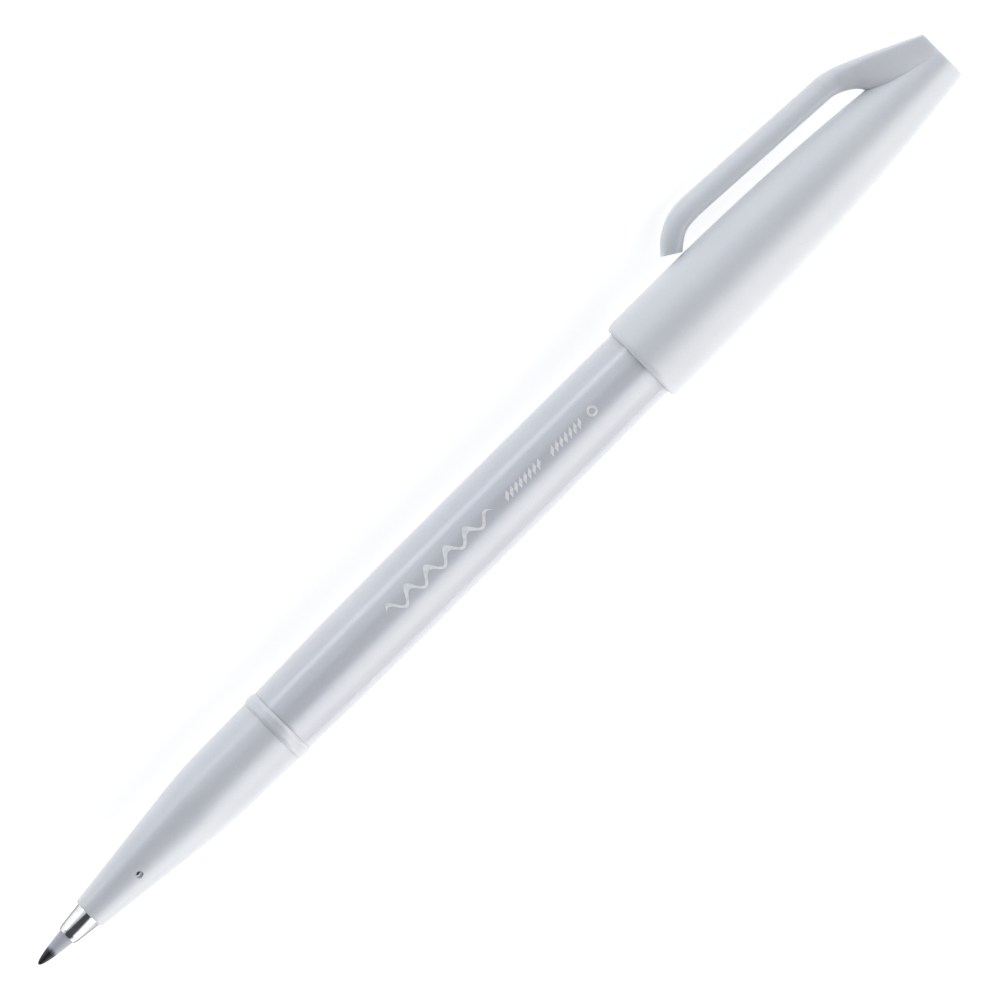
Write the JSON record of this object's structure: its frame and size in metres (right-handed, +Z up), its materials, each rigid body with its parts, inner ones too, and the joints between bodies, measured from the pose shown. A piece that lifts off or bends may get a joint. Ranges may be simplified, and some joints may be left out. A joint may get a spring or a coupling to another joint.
{
  "type": "calligraphy marker",
  "caption": "Brush-tip calligraphy marker in pearly grey plastic, with a flexible nib in a metal sleeve and its clipped cap pushed onto the tail.",
  "frame": {"origin": "middle of the marker's bounding box, on the table it lies on", "axes": "+X along the pen towards the nib, +Z up, -Y the side the clip is on"},
  "size_m": [0.1572, 0.0162, 0.0117],
  "materials": {
    "barrel": "gloss",
    "nose": "satin",
    "cap": "satin",
    "liner": "matte",
    "ferrule": "polished",
    "nib": "matte",
    "fibre": "matte",
    "film": "gloss"
  },
  "bodies": {
    "pen_body": {"barrel_tube": "barrel", "nose_section": "nose", "collar_ring": "nose", "tip_ferrule": "ferrule", "nib_stem": "nib", "nib_holder": "liner", "feed_rod": "fibre", "ink_reservoir": "fibre", "reservoir_film": "film", "tail_plug": "barrel"},
    "cap": {"cap_shell": "cap", "inner_cap": "liner"},
    "clip": {"clip_arm": "cap"},
    "nib": {"nib_front": "nib"}
  },
  "joints": [
    {"name": "cap_pull", "type": "slide", "parent": "pen_body", "child": "cap", "axis": [-1, 0, 0], "range_m": [0, 0.025]},
    {"name": "clip_flex", "type": "hinge", "parent": "cap", "child": "clip", "pos_m": [-0.06585, -0.0052, 0.00269], "axis": [0, 0.3923, -0.9198], "range_deg": [0, 4.5], "stiffness_Nm_per_rad": 0.5},
    {"name": "nib_bend", "type": "hinge", "parent": "pen_body", "child": "nib", "pos_m": [0.07425, 0.00222, 0.00586], "axis": [0, 1, 0], "range_deg": [-20, 20], "stiffness_Nm_per_rad": 0.007}
  ]
}
